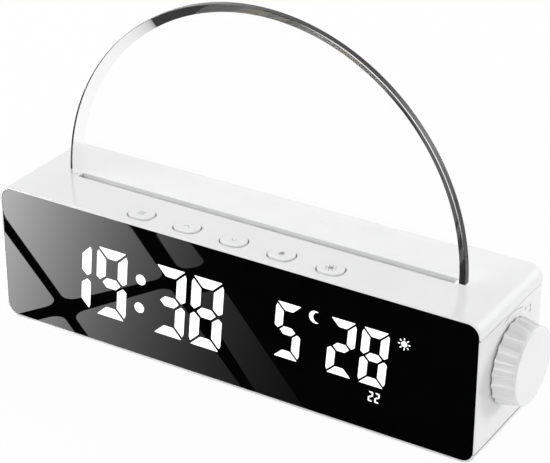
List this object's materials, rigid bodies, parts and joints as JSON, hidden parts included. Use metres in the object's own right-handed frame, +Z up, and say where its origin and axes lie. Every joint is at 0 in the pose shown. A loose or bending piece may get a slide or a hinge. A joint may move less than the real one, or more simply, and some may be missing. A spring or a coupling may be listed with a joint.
{
  "type": "sunrise alarm clock",
  "caption": "Mirror-front digital light clock with a clear half-disc light plate standing on top, a row of push buttons and a fluted dimmer knob on its right end.",
  "frame": {"origin": "on the table, under the middle of the whole clock's outline, knob included", "axes": "+X along the clock's length towards the knob, +Y from the mirror front to the rear, +Z up"},
  "size_m": [0.2114, 0.0498, 0.1409],
  "materials": {
    "gloss_white": "gloss injection-moulded ABS",
    "button_white": "gloss",
    "knob_white": "satin gloss",
    "mirror_black": "dark half-mirror acrylic",
    "clear_acrylic": "polished clear acrylic",
    "black_plastic": "matt",
    "diffuser_white": "milky resin",
    "holder_white": "matt injection-moulded ABS",
    "led_package": "matt",
    "board_green": "solder mask",
    "board_white": "white solder mask",
    "steel": "plated",
    "magnet_steel": "plated",
    "cell_steel": "polished",
    "aluminium_can": "satin",
    "cable_white": "matt film",
    "cone_paper": "pressed paper",
    "foot_rubber": "matt"
  },
  "bodies": {
    "housing": {"top_cover": "gloss_white", "base_cover": "gloss_white", "rear_shell": "gloss_white", "mirror_panel": "mirror_black", "panel_carrier": "black_plastic", "display_reflector": "black_plastic", "display_diffusers": "diffuser_white", "display_leds": "led_package", "display_board": "board_green", "light_plate": "clear_acrylic", "plate_holder": "holder_white", "light_board": "board_white", "light_leds": "led_package", "tact_switches": "black_plastic", "button_board": "board_green", "dimmer_body": "steel", "dimmer_washer": "steel", "dimmer_nut": "steel", "main_board": "board_green", "main_chips": "black_plastic", "capacitors": "aluminium_can", "power_socket": "steel", "cell_holder": "black_plastic", "coin_cell": "cell_steel", "speaker_frame": "black_plastic", "speaker_magnet": "magnet_steel", "speaker_cone": "cone_paper", "rubber_feet": "foot_rubber", "case_screws": "steel", "main_screws": "steel", "display_screws": "steel", "button_screws": "steel", "holder_screws": "steel", "display_ribbon": "cable_white", "lamp_ribbon": "cable_white", "button_ribbon": "cable_white", "ribbon_plugs": "diffuser_white"},
    "mode_button": {"button_mode": "button_white", "plunger_mode": "black_plastic"},
    "up_button": {"button_up": "button_white", "plunger_up": "black_plastic"},
    "down_button": {"button_down": "button_white", "plunger_down": "black_plastic"},
    "bell_button": {"button_bell": "button_white", "plunger_bell": "black_plastic"},
    "light_button": {"button_light": "button_white", "plunger_light": "black_plastic"},
    "knob": {"knob": "knob_white", "dimmer_shaft": "steel"}
  },
  "joints": [
    {"name": "mode_press", "type": "slide", "parent": "housing", "child": "mode_button", "axis": [0, 0, -1], "range_m": [0, 0.0005], "stiffness_N_per_m": 600},
    {"name": "up_press", "type": "slide", "parent": "housing", "child": "up_button", "axis": [0, 0, -1], "range_m": [0, 0.0005], "stiffness_N_per_m": 600},
    {"name": "down_press", "type": "slide", "parent": "housing", "child": "down_button", "axis": [0, 0, -1], "range_m": [0, 0.0005], "stiffness_N_per_m": 600},
    {"name": "bell_press", "type": "slide", "parent": "housing", "child": "bell_button", "axis": [0, 0, -1], "range_m": [0, 0.0005], "stiffness_N_per_m": 600},
    {"name": "light_press", "type": "slide", "parent": "housing", "child": "light_button", "axis": [0, 0, -1], "range_m": [0, 0.0005], "stiffness_N_per_m": 600},
    {"name": "knob_turn", "type": "hinge", "parent": "housing", "child": "knob", "pos_m": [0.09665, 0, 0.031], "axis": [1, 0, 0], "range_deg": [-140, 140]}
  ]
}
